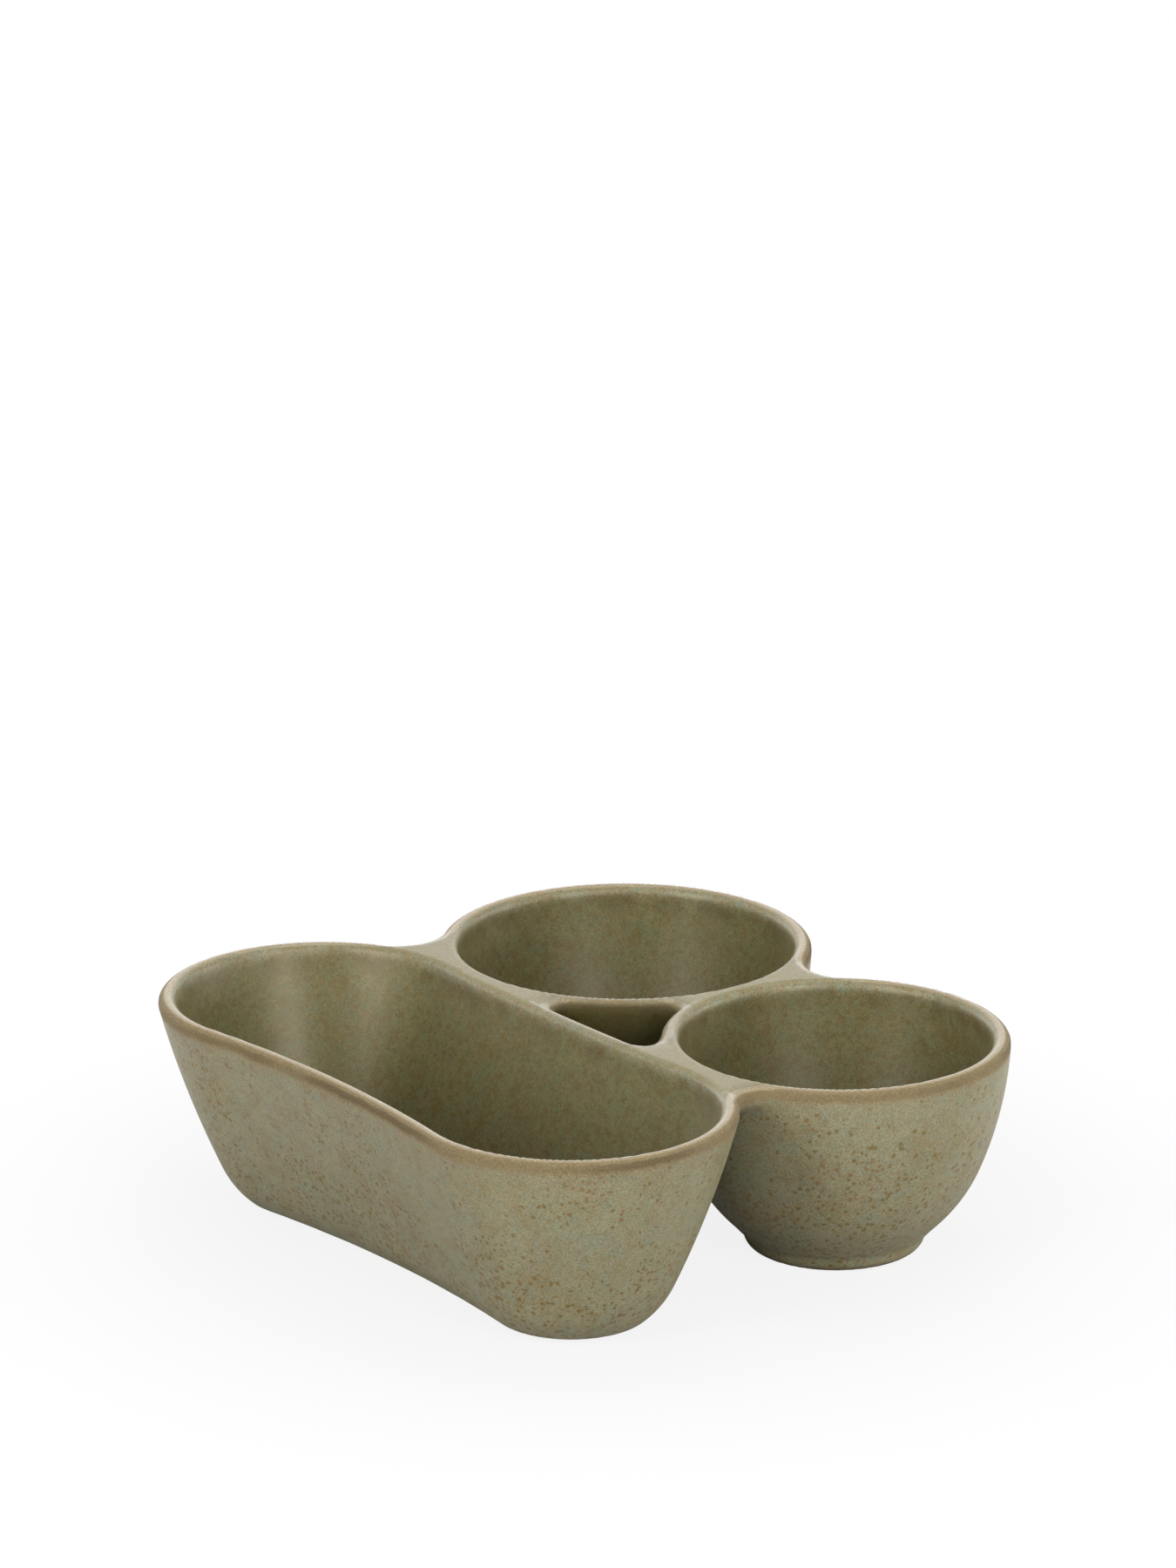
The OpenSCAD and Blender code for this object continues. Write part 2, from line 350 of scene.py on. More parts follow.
tree, given, close = new_tree(
    "Foot ring",
    {"Out": "Float", "Height": "Float", "Foot out": "Float", "Foot width": "Float", "Foot height": "Float",
     "Foot round": "Float", "Foot bed": "Float"},
    {"Distance": "Float"})
half_foot = given["Foot width"] * 0.5
side = (given["Out"] - given["Foot out"] + half_foot).math("ABSOLUTE") - half_foot
standing = rounded_meeting(side, -given["Height"], given["Foot round"])
over_foot = given["Height"] - given["Foot height"] - given["Foot bed"]
foot_ring = close({"Distance": largest(standing, over_foot)})


def ring_sizes(foot_out, foot_h, foot_round):
    """A foot ring's sizes under the names that its tree gives them"""
    return {"Foot out": foot_out, "Foot width": foot_w, "Foot height": foot_h,
            "Foot round": foot_round, "Foot bed": foot_bed}


vessels["long_dish"]["ring"] = ring_sizes(
    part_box("long_dish_foot")[1].x - right_end.x - long_end_r, long_foot_h, long_foot_round)
vessels["long_dish"]["cove"] = long_cove
for name, lip_r in bowl_lip_r.items():
    foot_low, foot_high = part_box(name + "_foot")
    foot_out = (foot_high.y - foot_low.y) / 2 - lip_r
    vessels[name]["ring"] = ring_sizes(foot_out, bowl_foot_h, bowl_foot_round)
    vessels[name]["cove"] = bowl_cove


# Webs: soft clay pressed into the corners between the rims, three on the outside and three round the gap
# in the middle. Each runs in one hollow curve from wall to wall, and its top is flush with the lips.
lute = 2.4 * mm
web_round = wall_t / 2
web_full = 3.5 * mm
web_end = 13 * mm
web_lean = 0.12
joint_middle_share = 1 - math.sqrt(0.5)
waist_reach = (back_draw ** 2 + half_span ** 2) / (2 * back_draw)
waist_at = long_at + Vector((0, waist_reach - back_draw, 0))
waist_out_r = waist_reach - end_out_r
large_at, small_at = bowl_at["large_bowl"], bowl_at["small_bowl"]
large_out_r, small_out_r = (lip_r + wall_t for lip_r in bowl_lip_r.values())

# Each web lies between two round walls: the centre and outer radius of both, taken so that the web is on
# the left of the way from one to the other, and the radius of its fillet. The waist curves away from its
# centre, so its radius is below zero.
webs = {
    "left_notch_web": (left_end, end_out_r, large_at, large_out_r, 13 * mm),
    "right_notch_web": (small_at, small_out_r, right_end, end_out_r, 7 * mm),
    "rear_notch_web": (large_at, large_out_r, small_at, small_out_r, 12.5 * mm),
    "left_gap_web": (waist_at, -waist_out_r, large_at, large_out_r, 4.5 * mm),
    "right_gap_web": (small_at, small_out_r, waist_at, -waist_out_r, 5 * mm),
    "rear_gap_web": (small_at, small_out_r, large_at, large_out_r, 4 * mm),
}
# Two vessels share a wall, with a web at each end of it
joints = [
    ("long_dish", "large_bowl", "left_notch_web", "left_gap_web"),
    ("long_dish", "small_bowl", "right_gap_web", "right_notch_web"),
    ("large_bowl", "small_bowl", "rear_gap_web", "rear_notch_web"),
]


def meeting(a, a_r, b, b_r):
    """Point at distance a_r from a and b_r from b, on the left of the way from a to b"""
    way = (b - a).normalized()
    gap = (b - a).length
    along = (gap * gap + a_r * a_r - b_r * b_r) / (2 * gap)
    return a + along * way + math.sqrt(a_r * a_r - along * along) * Vector((-way.y, way.x, 0))


def corner(a, a_r, b, b_r, fillet_r):
    """The middle of a web's edge, and the radius of the joint between the two walls that runs through it.
    The middle of a joint is a share of its radius away from both walls."""
    centre = meeting(a, abs(a_r + fillet_r), b, abs(b_r + fillet_r))
    root = meeting(a, abs(a_r), b, abs(b_r))
    edge = centre + (root - centre).normalized() * fillet_r
    gaps = [math.copysign(1, r) * ((edge - at).length - abs(r)) for at, r in ((a, a_r), (b, b_r))]
    return edge, sum(gaps) / len(gaps) / joint_middle_share


def rise(value, low, high):
    """0 up to the low value, 1 from the high value on, and smooth between"""
    return place(value.tree, "ShaderNodeMapRange", {"Value": value, "From Min": low, "From Max": high},
                 interpolation_type="SMOOTHSTEP")


def rounded_joint(a, b, radius):
    """Two solids together, with the corner between their faces filled to a radius"""
    corner = reach((radius - a).math("MAXIMUM", 0), (radius - b).math("MAXIMUM", 0))
    return smallest(a, b).math("MAXIMUM", radius) - corner


# The radius of a joint, which changes along the shared wall from one web to the other
tree, given, close = new_tree(
    "Joint radius",
    {"Position": "Vector", "Start": "Vector", "End": "Vector", "Start radius": "Float",
     "End radius": "Float"},
    {"Radius": "Float"})
way = given["End"].vector("SUBTRACT", given["Start"])
gone = given["Position"].vector("SUBTRACT", given["Start"]).vector("DOT_PRODUCT", way)
share = rise(gone / way.vector("DOT_PRODUCT", way), 0, 1)
growth = given["End radius"] - given["Start radius"]
joint_radius = close({"Radius": given["Start radius"] + growth * share})

# The whole dish in one formula: three walls on their rings, luted together, and webs that thin out below.
# Rim is how far out a point is from the joined outline of the lips, and Lip from the nearest inner lip.
tree, given, close = new_tree(
    "Joined dish", {"Position": "Vector"}, {"Distance": "Float", "Rim": "Float", "Lip": "Float"})
z = split(given["Position"])[2]
outs = {}
walls = {}
for name, vessel in vessels.items():
    outs[name] = call(tree, vessel["outline"], {"Position": given["Position"], **vessel["plan"]})
    wall = call(tree, stoneware_wall, {"Out": outs[name], "Height": z, **vessel["arcs"]})
    ring = call(tree, foot_ring, {"Out": outs[name], "Height": z, **vessel["ring"]})
    walls[name] = wall.math("SMOOTH_MIN", ring, vessel["cove"])
lip = smallest(*outs.values())
rim = lip - wall_t
body = walls["long_dish"]
for name in bowl_lip_r:
    body = body.math("SMOOTH_MIN", walls[name], lute)
above_lip = z - dish_h
behind_lip = above_lip * web_lean - lip + wall_t / 2
thinning = rise(above_lip, -web_end, -web_full)
for first, second, start, end in joints:
    start_at, start_r = corner(*webs[start])
    end_at, end_r = corner(*webs[end])
    radius = call(tree, joint_radius, {
        "Position": given["Position"], "Start": start_at, "End": end_at,
        "Start radius": start_r, "End radius": end_r})
    web = rounded_joint(walls[first], walls[second], radius * thinning)
    body = smallest(body, largest(rounded_meeting(web, above_lip, web_round), behind_lip))
    rim = smallest(rim, rounded_joint(outs[first] - wall_t, outs[second] - wall_t, radius))
joined_dish = close({"Distance": largest(body, above_lip, -z), "Rim": rim, "Lip": lip})


def either_side(tree, given, axis):
    """The formula's results a little ahead of a point and a little behind it, along one axis"""
    step = place(tree, "ShaderNodeCombineXYZ", {axis: given["Probe"]})
    return [call(tree, joined_dish, {"Position": given["Position"].vector(way, step)})
            for way in ("ADD", "SUBTRACT")]


# The way out of the clay at a point, from how the formula changes a little to each side
tree, given, close = new_tree(
    "Way out", {"Position": "Vector", "Probe": "Float"}, {"Distance": "Float", "Normal": "Vector"})
slope = {}
for axis in "XYZ":
    (ahead, *rest), (behind, *rest) = either_side(tree, given, axis)
    slope[axis] = ahead - behind
distance, *rest = call(tree, joined_dish, {"Position": given["Position"]})
way_out = close({
    "Distance": distance,
    "Normal": place(tree, "ShaderNodeCombineXYZ", slope).vector("NORMALIZE")})

# The true distance out from the joined outline, which the formula's Rim shortens where the walls run
# together, and the way out from the nearest inner lip
least_rim_slope = 0.4
tree, given, close = new_tree(
    "Rim distance", {"Position": "Vector", "Probe": "Float"},
    {"Rim": "Float", "Lip": "Float", "Lip way": "Vector"})
rim_slope = {}
lip_slope = {}
for axis in "XY":
    (distance, rim_ahead, lip_ahead), (distance, rim_behind, lip_behind) = either_side(tree, given, axis)
    rim_slope[axis] = (rim_ahead - rim_behind) / (given["Probe"] * 2)
    lip_slope[axis] = (lip_ahead - lip_behind) / (given["Probe"] * 2)
distance, rim, lip = call(tree, joined_dish, {"Position": given["Position"]})
rim_distance = close({
    "Rim": rim / reach(*rim_slope.values()).math("MAXIMUM", least_rim_slope), "Lip": lip,
    "Lip way": place(tree, "ShaderNodeCombineXYZ", lip_slope)})

# The skin of that formula: a coarse skin round the solid, whose points then slide onto the true surface
fade_cells = 8
skin_level = 0.5
slides = 2
tree, given, close = new_tree(
    "Formed dish",
    {"Geometry": "Geometry", "Low corner": "Vector", "High corner": "Vector", "Cells along": "Int",
     "Cells across": "Int", "Cells up": "Int", "Cell": "Float", "Probe": "Float"},
    {"Geometry": "Geometry"})
position = place(tree, "GeometryNodeInputPosition", {})
distance, *rest = call(tree, joined_dish, {"Position": position})
depth = (distance / given["Cell"] * (-1 / fade_cells) + skin_level).math("MAXIMUM", 0).math("MINIMUM", 1)
solid = place(tree, "GeometryNodeVolumeCube", {
    "Density": depth, "Min": given["Low corner"], "Max": given["High corner"],
    "Resolution X": given["Cells along"], "Resolution Y": given["Cells across"],
    "Resolution Z": given["Cells up"]})
skin = place(tree, "GeometryNodeVolumeToMesh", {"Volume": solid, "Threshold": skin_level},
             resolution_mode="GRID")
for slide in range(slides):
    distance, outward = call(tree, way_out, {"Position": position, "Probe": given["Probe"]})
    inward = outward.vector("MULTIPLY", -distance)
    skin = place(tree, "GeometryNodeSetPosition", {"Geometry": skin, "Offset": inward})
formed_dish = close({"Geometry": skin})


def linked(name, data):
    """A new object in the scene for a mesh, a light or a camera"""
    thing = bpy.data.objects.new(name, data)
    bpy.context.scene.collection.objects.link(thing)
    return thing


def settled(thing):
    """The plain mesh that an object's modifiers make"""
    return bpy.data.meshes.new_from_object(thing.evaluated_get(bpy.context.evaluated_depsgraph_get()))


def grown(tree, values, mesh=None):
    """The plain mesh that a tree makes from these named values, and from a mesh where it takes one"""
    holder = linked(tree.name, mesh or bpy.data.meshes.new(tree.name))
    modifier = holder.modifiers.new(tree.name, "NODES")
    modifier.node_group = tree
    for item in tree.interface.items_tree:
        if item.in_out == "INPUT" and item.name in values:
            modifier[item.identifier] = values[item.name]
    holder.data.update_tag()
    made = settled(holder)
    bpy.data.objects.remove(holder)
    return made


cell = 1 * mm
probe = 0.05 * mm
margin_cells = 3
low = Vector(cad_box[0]) - Vector((margin_cells,) * 3) * cell
cells = [math.ceil((b - a) / cell) + margin_cells + 1 for a, b in zip(low, cad_box[1])]
whole_dish = grown(formed_dish, {
    "Low corner": low, "High corner": low + Vector(cells) * cell, "Cells along": cells[0] + 1,
    "Cells across": cells[1] + 1, "Cells up": cells[2] + 1, "Cell": cell, "Probe": probe})


# Glaze: one satin reactive glaze over all the stoneware. It is sage green, mottled and clouded, iron specks
# come up through it in ochre, and it breaks to tan and brown where it runs thin over an edge.
sage = (0.240, 0.224, 0.130, 1)
celadon = (0.180, 0.209, 0.143, 1)
ochre = (0.180, 0.130, 0.044, 1)
mauve = (0.240, 0.187, 0.124, 1)
rust = (0.215, 0.148, 0.082, 1)
iron = (0.090, 0.062, 0.022, 1)
spot = (0.148, 0.098, 0.024, 1)
red_spot = (0.190, 0.110, 0.042, 1)
pale = (0.238, 0.198, 0.080, 1)
# cream: paler glaze on the crest of the lips, partly a painted highlight
cream_and_highlight = (0.415, 0.318, 0.186, 1)
tan = (0.200, 0.145, 0.068, 1)
umber = (0.100, 0.068, 0.027, 1)
burnt_umber = (0.055, 0.034, 0.011, 1)
# pooled: painted shade inside the vessels, together with deeper glaze there; shaded: painted shade in the
# gap
pooled_glaze_and_shade = (0.62, 0.61, 0.44, 1)
shaded = (0.30, 0.28, 0.14, 1)
white = (1, 1, 1, 1)
gap_edges = [corner(*webs[name])[0] for name in ("left_gap_web", "right_gap_web", "rear_gap_web")]
gap_at = sum(gap_edges, Vector()) / len(gap_edges)
gap_r = max((edge - gap_at).length for edge in gap_edges)
noise_middle = 0.5


def noise(where, size, detail, roughness=0.5, output=0):
    """Clouds of about this size, from 0 to 1, or three sets of them as a colour"""
    return place(where.tree, "ShaderNodeTexNoise", {
        "Vector": where, "Scale": 1 / size, "Detail": detail, "Roughness": roughness}, output)


def swing(where, size):
    """Clouds of about this size, to both sides of zero"""
    return noise(where, size, detail=2) - noise_middle


def tinted(colour, tint, mask):
    """The colour, with a tint laid over it where the mask is 1"""
    node = mask.tree.nodes.new("ShaderNodeMix")
    node.data_type = "RGBA"
    sockets = {socket.identifier: socket for socket in (*node.inputs, *node.outputs)}
    for label, value in (("Factor_Float", mask), ("A_Color", colour), ("B_Color", tint)):
        feed(sockets[label], value)
    return Field(mask.tree, sockets["Result_Color"])


# Mottles of the glaze: where it turns to ochre, to blue-green and to a reddish grey, at one size of mottle
mottle_names = ("Ochre", "Celadon", "Mauve")
mottle_limits = (0.47, 0.68)
tree, given, close = new_tree(
    "Glaze mottles", {"Place": "Vector", "Size": "Float"},
    {label: "Float" for label in mottle_names}, "ShaderNodeTree")
mottles = split(noise(given["Place"], given["Size"], detail=3, roughness=0.62, output="Color"))
glaze_mottles = close({label: rise(value, *mottle_limits) for label, value in zip(mottle_names, mottles)})

# Specks of iron: each cell of a random pattern may hold one, of its own size, and they come in drifts that
# thin out towards the lips
speck_bend = 0.9 * mm
speck_bend_size = 0.8 * mm
smallest_speck_share = 0.3
speck_core_share = 0.45
drift_size = 24 * mm
drift_limits = (0.27, 0.5)
drift_loss = 0.2
tree, given, close = new_tree(
    "Iron specks",
    {"Place": "Vector", "Spacing": "Float", "Size": "Float", "Share": "Float", "Drift": "Float"},
    {"Speck": "Float"}, "ShaderNodeTree")
bend = noise(given["Place"], speck_bend_size, detail=2, roughness=0.6, output="Color")
pattern = tree.nodes.new("ShaderNodeTexVoronoi")
feed(pattern.inputs["Vector"], given["Place"].vector("ADD", bend.vector("MULTIPLY", (speck_bend,) * 3)))
feed(pattern.inputs["Scale"], 1 / given["Spacing"])
from_speck = Field(tree, pattern.outputs["Distance"]) * given["Spacing"]
chance, size_chance, unused = split(Field(tree, pattern.outputs["Color"]))
radius = given["Size"] * (size_chance * (1 - smallest_speck_share) + smallest_speck_share)
up_share = split(given["Place"])[2] / dish_h
clouds = noise(given["Place"], drift_size, detail=3, roughness=0.6)
drift = rise(clouds - up_share * drift_loss, *drift_limits)
held = chance.math("LESS_THAN", given["Share"] * ((drift - 1) * given["Drift"] + 1))
iron_specks = close({"Speck": held * rise(from_speck / radius, 1, speck_core_share)})

# Glaze run thin at the rims, by the way over the lip: Crest on top, partly paler thin glaze and partly a
# painted highlight along the lip, Edge down its outside, Break for the brown line along that, Wash below it,
# Shoulder for the inside just under the lip, and Land for the flat tops of shared walls and webs. Each
# border of these goes from where they end to where they are full.
wander_size = 9 * mm
outer_wander = 1.4 * mm
inner_wander = 3 * mm
ragged_size = 1.2 * mm
outer_ragged = 0.8 * mm
patch_size = 8 * mm
patch_limits = (0.32, 0.66)
burnt_size = 32 * mm
burnt_limits = (0.36, 0.62)
burnt_least = 0.25
burnt_more = 0.5
lip_turn = (-0.4 * mm, 0.4 * mm)
lip_inside = (1.6 * mm, 0.2 * mm)
crest_inner = (-1.3 * mm, -0.7 * mm)
crest_outer = (1.2 * mm, 0.5 * mm)
crest_lower = (1.6 * mm, 0.9 * mm)
edge_upper = (0.2 * mm, 1.1 * mm)
edge_lower = (5.6 * mm, 4.4 * mm)
break_upper = (1.8 * mm, 2.8 * mm)
break_lower = (4.9 * mm, 3.7 * mm)
wash_lower = (9.5 * mm, 3.6 * mm)
shoulder_upper = (0.6 * mm, 3 * mm)
shoulder_lower = (9 * mm, 3.5 * mm)
land_outer = (-1 * mm, -2.5 * mm)
land_inner = (0.4 * mm, 1.4 * mm)
land_lower = (1.8 * mm, 0.4 * mm)
tree, given, close = new_tree(
    "Thin glaze and crest highlight",
    {"Place": "Vector", "Rim": "Float", "Lip": "Float", "Lip height": "Float", "Half lip": "Float"},
    {label: "Float" for label in ("Crest", "Edge", "Break", "Wash", "Shoulder", "Land")}, "ShaderNodeTree")
below = given["Lip height"] - split(given["Place"])[2]
outward = given["Rim"] + given["Half lip"]
wander = swing(given["Place"], wander_size)
ragged = swing(given["Place"], ragged_size)
patchy = rise(noise(given["Place"], patch_size, detail=2), *patch_limits)
burnt = rise(noise(given["Place"], burnt_size, detail=1), *burnt_limits) * burnt_more + burnt_least
outside = outward.math("MAXIMUM", 0) + below + wander * outer_wander + ragged * outer_ragged
outer = rise(outward, *lip_turn)
under_lip = rise(given["Lip"], *lip_inside)
inside = below + wander * inner_wander
thin_glaze_and_crest_highlight = close({
    "Crest": rise(outward, *crest_inner) * rise(outward, *crest_outer) * rise(below, *crest_lower),
    "Edge": rise(outward, *edge_upper) * rise(outside, *edge_lower),
    "Break": rise(outside, *break_upper) * rise(outside, *break_lower) * outer * burnt,
    "Wash": rise(outside, *wash_lower) * outer * patchy,
    "Shoulder": rise(inside, *shoulder_upper) * rise(inside, *shoulder_lower) * under_lip * patchy,
    "Land": rise(outward, *land_outer) * rise(given["Lip"], *land_inner) * rise(below, *land_lower)})

# Deeper colour: Pool inside the vessels, partly glaze pooled thick and partly painted shade in the hollows,
# and Shade down the walls of the gap, painted shade where little light gets in. Gap is the gap with the rims
# round it.
gap_rims = (6 * mm, 1 * mm)
pool_and_shade_upper = (0.6 * mm, 4 * mm)
shade_outer = (-2 * mm, -0.8 * mm)
shade_upper = (0.2 * mm, 1.6 * mm)
tree, given, close = new_tree(
    "Thick glaze and painted shade", {"Place": "Vector", "Rim": "Float", "Within": "Float", "Lip height": "Float",
                    "Gap centre": "Vector", "Gap radius": "Float"},
    {"Pool and shade": "Float", "Shade": "Float", "Gap": "Float"}, "ShaderNodeTree")
below = given["Lip height"] - split(given["Place"])[2]
from_gap_x, from_gap_y, unused = split(given["Place"].vector("SUBTRACT", given["Gap centre"]))
in_gap = rise(reach(from_gap_x, from_gap_y) - given["Gap radius"], *gap_rims)
gap_walls = in_gap * rise(given["Rim"], *shade_outer)
thick_glaze_and_shade = close({
    "Pool and shade": given["Within"] * rise(below, *pool_and_shade_upper),
    "Shade": gap_walls * rise(below, *shade_upper) * (1 - given["Within"]),
    "Gap": in_gap})

# The glaze as it comes from the kiln, for every piece that it covers, with a painted highlight on the crests
# and painted shade inside the vessels and in the gap. A mottle layer has its size, and its share of the
# colour outside the vessels and inside them.
coarse_specks = {"Spacing": 1.4 * mm, "Size": 0.9 * mm, "Share": 1, "Drift": 0.95}
fine_specks = {"Spacing": 0.9 * mm, "Size": 0.38 * mm, "Share": 0.7, "Drift": 0.4}
mottle_layers = ((15 * mm, 0.35, 0.4), (4.5 * mm, 0.5, 0.75), (1.5 * mm, 0.35, 0.85))
mauve_share = 0.7
ochre_share = 0.8
red_spot_size = 12 * mm
red_spot_limits = (0.52, 0.66)
pale_share = 0.6
iron_share = 0.4
spot_share = 0.9
spot_within_loss = 0.7
rust_share = 0.4
umber_share = 0.45
tan_share = 0.75
cream_and_highlight_share = 0.6
gap_loss = 0.4
grain_size = 0.45 * mm
grain_contrast = 1.4
grain_relief = 0.5
mottle_dip = 0.2
speck_dip = 0.5
satin_roughness = 0.37
grain_roughness = 0.14
crest_gloss = 0.12
edge_roughness = 0.3
tree, given, close = new_tree(
    "Reactive glaze", {"Place": "Vector", "Rim": "Float", "Lip": "Float", "Within": "Float"},
    {"Colour": "Color", "Roughness": "Float", "Relief": "Float"}, "ShaderNodeTree")
grain = noise(given["Place"], grain_size, detail=2, roughness=0.6)
coarse = call(tree, iron_specks, {"Place": given["Place"], **coarse_specks})
fine = call(tree, iron_specks, {"Place": given["Place"], **fine_specks})
crest, edge, edge_break, wash, shoulder, land = call(tree, thin_glaze_and_crest_highlight, {
    "Place": given["Place"], "Rim": given["Rim"], "Lip": given["Lip"],
    "Lip height": dish_h, "Half lip": wall_t / 2})
pool_and_shade, shade, in_gap = call(tree, thick_glaze_and_shade, {
    "Place": given["Place"], "Rim": given["Rim"], "Within": given["Within"], "Lip height": dish_h,
    "Gap centre": gap_at, "Gap radius": gap_r})
colour = sage
relief = grain * grain_relief
for size, outer_share, inner_share in mottle_layers:
    share = given["Within"] * (inner_share - outer_share) + outer_share
    to_ochre, to_celadon, to_mauve = call(tree, glaze_mottles, {"Place": given["Place"], "Size": size})
    colour = tinted(colour, celadon, to_celadon * share)
    colour = tinted(colour, mauve, to_mauve * share * mauve_share)
    colour = tinted(colour, ochre, to_ochre * share * ochre_share)
    relief = relief - to_ochre * mottle_dip
redder = rise(noise(given["Place"], red_spot_size, detail=1), *red_spot_limits)
for tint, mask in (
        (pale, land * pale_share),
        (iron, fine * iron_share),
        (tinted(spot, red_spot, redder), coarse * (spot_share - given["Within"] * spot_within_loss)),
        (rust, wash * rust_share),
        (umber, shoulder * umber_share),
        (tan, edge * (tan_share - in_gap * gap_loss)),
        (burnt_umber, edge_break),
        # Crest: paler thin glaze and a painted highlight along the top of the lip
        (cream_and_highlight, crest * (cream_and_highlight_share - in_gap * gap_loss))):
    colour = tinted(colour, tint, mask)
# Painted shade inside the vessels and down the walls of the gap
glaze_depth_and_shade = tinted(tinted(white, pooled_glaze_and_shade, pool_and_shade), shaded, shade)
light_grain = (grain - noise_middle) * grain_contrast + 1
reactive_glaze = close({
    "Colour": colour.vector("MULTIPLY", glaze_depth_and_shade).vector("MULTIPLY", light_grain),
    "Roughness": grain * grain_roughness + satin_roughness - crest * crest_gloss + edge * edge_roughness,
    "Relief": relief - coarse * speck_dip})

# The glaze is wiped off the lower edge of the rings, down to bare clay, and above that a brown band darkens
# the bottom of the ring, partly thin glaze and partly painted shade. The borders of both are shares of the
# wiped height.
bare_clay = (0.25, 0.175, 0.115, 1)
wiped_h = 0.55 * mm
wiped_ragged = 0.9 * mm
wiped_ragged_size = 3 * mm
bare_shares = (1.1, 0.8)
thinned_and_shaded_shares = (3.5, 1)
umber_and_shade = 0.75
clay_roughness = 0.3
warm_gloss = (1, 0.9, 0.74, 1)
relief_strength = 0.35
relief_depth = 0.05 * mm


def glaze_material(name, wiped):
    """The glaze on a piece, wiped off below a height where one is given"""
    material = bpy.data.materials.new(name)
    material.use_nodes = True
    tree = material.node_tree
    where = place(tree, "ShaderNodeTexCoord", {}, "Object")
    stored = {label.title(): place(tree, "ShaderNodeAttribute", {}, "Fac", attribute_name=label)
              for label in ("rim", "lip", "within")}
    colour, roughness, relief = call(tree, reactive_glaze, {"Place": where, **stored})
    if wiped:
        height = split(where)[2] + swing(where, wiped_ragged_size) * wiped_ragged
        thinned_and_shaded, bare = (rise(height, *(share * wiped for share in shares))
                         for shares in (thinned_and_shaded_shares, bare_shares))
        # Brown band above the bare clay: partly thin glaze, partly painted shade at the bottom of the ring
        colour = tinted(tinted(colour, umber, thinned_and_shaded * umber_and_shade), bare_clay, bare)
        roughness = roughness + bare * clay_roughness
    shader = tree.nodes["Principled BSDF"]
    shader.inputs["Specular Tint"].default_value = warm_gloss
    bump = place(tree, "ShaderNodeBump", {
        "Height": relief, "Strength": relief_strength, "Distance": relief_depth})
    for socket, value in (("Base Color", colour), ("Roughness", roughness), ("Normal", bump)):
        feed(shader.inputs[socket], value)
    return material


green_glaze = glaze_material("green_glaze", 0)
foot_glaze = glaze_material("foot_glaze", wiped_h)


# Fired pieces: the joined clay is parted where the potter luted it, so that each vessel, ring and web is a
# solid of its own. The seams lie under the glaze, so the shading runs on across them.
bowls_shared_t = 5.1 * mm
seat = 0.06 * mm
overlap = 0.02 * mm
bed = 0.01 * mm
overrun = 3 * mm
seam_y = {name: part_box(name)[0].y for name in bowl_lip_r}
bowl_way = (small_at - large_at).normalized()
bowl_seam = large_at + bowl_way * (bowl_lip_r["large_bowl"] + bowls_shared_t / 2)


def region(name, spare):
    """The plan that a vessel takes up, cut straight at its seams, which the spare length moves out"""
    if name == "long_dish":
        points = waisted_line(wall_t + seat)
        limits = [seam_y["large_bowl" if p.x < bowl_seam.x else "small_bowl"] + spare for p in points]
        return [Vector((p.x, min(p.y, limit), 0)) for p, limit in zip(points, limits)]
    way = bowl_way if name == "large_bowl" else -bowl_way
    points = []
    for p in round_line(name, wall_t + seat):
        p = p - way * max(0, (p - bowl_seam).dot(way) - spare)
        points.append(Vector((p.x, max(p.y, seam_y[name] - spare), 0)))
    return points


def prism(points, bottom, top):
    """A closed solid that stands on a plan"""
    count = len(points)
    mesh = bpy.data.meshes.new("prism")
    faces = [tuple(reversed(range(count))), tuple(range(count, 2 * count))]
    faces += [(i, (i + 1) % count, count + (i + 1) % count, count + i) for i in range(count)]
    mesh.from_pydata([(p.x, p.y, z) for z in (bottom, top) for p in points], [], faces)
    return mesh


def carved(mesh, operation, *cutters):
    """The mesh with each cutter taken from it, or what it shares with them"""
    holders = [linked("holder", part) for part in (mesh, *cutters)]
    for cutter in holders[1:]:
        modifier = holders[0].modifiers.new("cut", "BOOLEAN")
        modifier.operation = operation
        modifier.solver = "MANIFOLD"
        modifier.object = cutter
    made = settled(holders[0])
    made.materials.clear()
    for holder in holders:
        bpy.data.objects.remove(holder)
    return made


def loose_parts(mesh):
    """The separate solids of a mesh, each as its own mesh"""
    form = bmesh.new()
    form.from_mesh(mesh)
    form.faces.ensure_lookup_table()
    left = set(form.faces)
    parts = []
    while left:
        found = {left.pop()}
        border = list(found)
        while border:
            near = {face for side in border.pop().edges for face in side.link_faces} & left
            left -= near
            found |= near
            border += near
        part = form.copy()
        part.faces.ensure_lookup_table()
        keep = {face.index for face in found}
        bmesh.ops.delete(part, geom=[face for face in part.faces if face.index not in keep], context="FACES")
        parts.append(bpy.data.meshes.new("part"))
        part.to_mesh(parts[-1])
        part.free()
    form.free()
    return parts


def mean_place(mesh):
    """The mean of a mesh's points"""
    return sum((vertex.co for vertex in mesh.vertices), Vector()) / len(mesh.vertices)


clay = {}
for name, vessel in vessels.items():
    base = vessel["ring"]["Foot height"] - bed
    clay[name] = carved(whole_dish, "INTERSECT", prism(region(name, 0), base, dish_h + overrun))
    clay[name + "_foot"] = carved(whole_dish, "INTERSECT", prism(region(name, 0), -overrun, base))
whole_regions = [prism(region(name, overlap if name in bowl_lip_r else 0), -overrun, dish_h + overrun)
                 for name in vessels]
filled = loose_parts(carved(whole_dish, "DIFFERENCE", *whole_regions))
for name, web in webs.items():
    edge = corner(*web)[0]
    clay[name] = min(filled, key=lambda part: (mean_place(part) - edge).to_2d().length)

